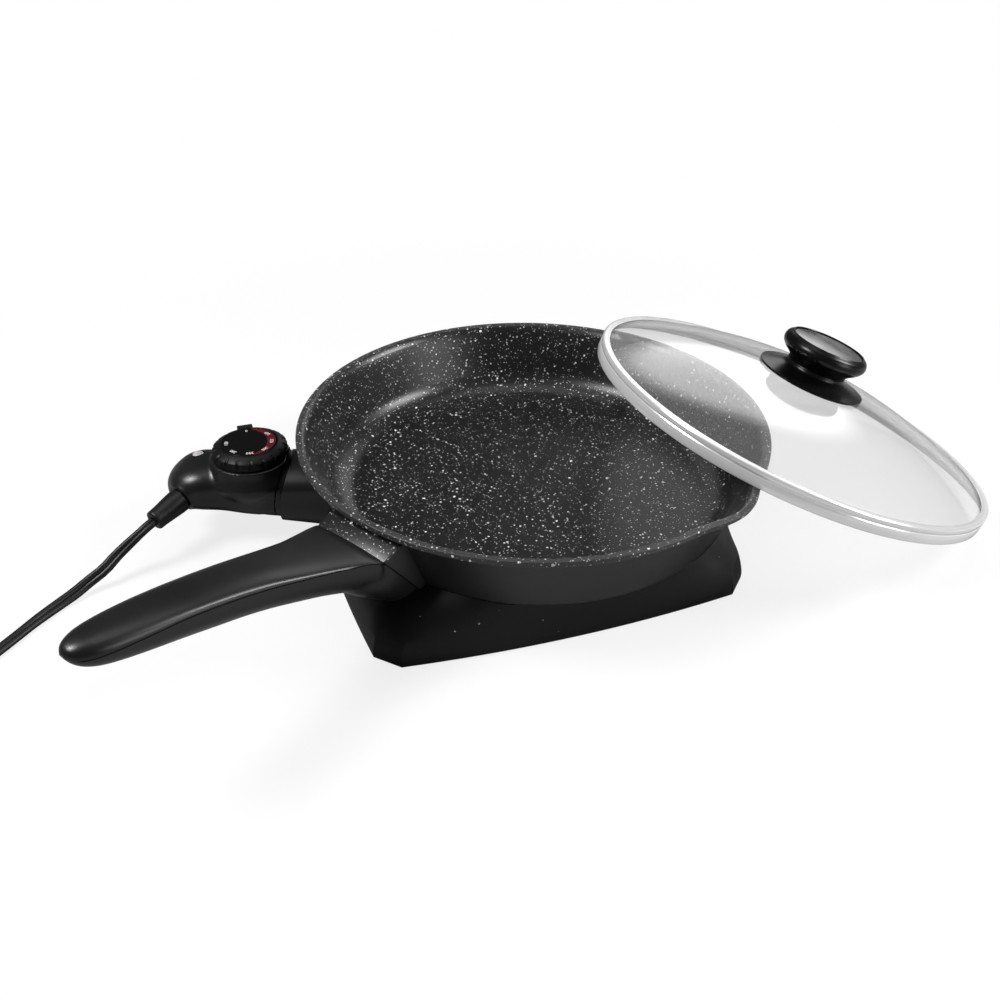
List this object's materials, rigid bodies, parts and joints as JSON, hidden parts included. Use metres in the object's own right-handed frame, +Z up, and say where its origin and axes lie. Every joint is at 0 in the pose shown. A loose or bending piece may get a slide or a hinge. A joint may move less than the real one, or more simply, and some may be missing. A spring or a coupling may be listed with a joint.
{
  "type": "electric skillet",
  "caption": "Round coated electric frying pan on a flared base, with a long handle, a plug-in heat control on a flat lead, and a glass lid leaning off its side.",
  "frame": {"origin": "centre of the pan's cooking surface, on its axis", "axes": "+Z up along the pan's axis, -Y along the handle, +X towards the pouring spout; the heat control lies at 222.5 degrees"},
  "size_m": [0.4755, 0.6696, 0.1131],
  "materials": {
    "speckled_coating": "non-stick coating with pale specks on cast aluminium",
    "base_black": "satin moulded black",
    "handle_black": "satin moulded black",
    "control_black": "satin moulded black",
    "knob_black": "polished moulded black",
    "dial_black": "semi-gloss black",
    "knob_disc_grey": "brushed grey disc",
    "steel": "bright rolled steel",
    "zinc_plate": "zinc-plated steel",
    "brass": "plain brass",
    "ceramic": "off-white insulating block",
    "clear_glass": "clear tempered glass",
    "lens_clear": "clear moulded lens",
    "lamp_amber": "small neon lamp",
    "foot_rubber": "soft black rubber",
    "cord_black": "matt black flexible jacket"
  },
  "bodies": {
    "skillet": {"pan_body": "speckled_coating", "base_skirt": "base_black", "base_cover": "base_black", "socket_guard": "base_black", "foot_1": "foot_rubber", "foot_2": "foot_rubber", "foot_3": "foot_rubber", "foot_4": "foot_rubber", "base_screw_1": "zinc_plate", "base_screw_2": "zinc_plate", "base_screw_3": "zinc_plate", "base_screw_4": "zinc_plate", "heating_element": "steel", "terminal_pin_near": "steel", "terminal_pin_far": "steel", "terminal_block": "ceramic", "handle_grip": "handle_black", "handle_underside": "handle_black", "handle_screw": "zinc_plate"},
    "lid": {"lid_glass": "clear_glass", "lid_band": "steel", "knob_base": "knob_black", "knob_grip": "knob_black", "knob_disc": "knob_disc_grey", "lid_washer": "steel", "lid_screw": "steel"},
    "control": {"control_top_shell": "control_black", "control_bottom_shell": "control_black", "control_front": "control_black", "temperature_probe": "steel", "contact_sleeve_near": "brass", "contact_sleeve_far": "brass", "thermostat_frame": "zinc_plate", "bimetal_strip": "brass", "contact_blade": "brass", "insulator_stack": "ceramic", "indicator_lamp": "lamp_amber", "indicator_lens": "lens_clear", "control_screw_1": "zinc_plate", "control_screw_2": "zinc_plate", "control_screw_3": "zinc_plate", "strain_relief": "cord_black", "cord_lead": "cord_black", "cord_coil": "cord_black", "plug_body": "cord_black", "plug_blade_1": "brass", "plug_blade_2": "brass"},
    "dial": {"dial_knob": "dial_black", "dial_face": "dial_black", "dial_shaft": "zinc_plate"}
  },
  "joints": [
    {"name": "lid_lift", "type": "slide", "parent": "skillet", "child": "lid", "axis": [0, 0, 1], "range_m": [0, 0.15]},
    {"name": "control_pull", "type": "slide", "parent": "skillet", "child": "control", "axis": [-0.7373, -0.6756, 0], "range_m": [0, 0.1]},
    {"name": "dial_turn", "type": "hinge", "parent": "control", "child": "dial", "pos_m": [-0.12976, -0.1189, 0.03], "axis": [0, 0, -1], "range_deg": [0, 300]}
  ]
}
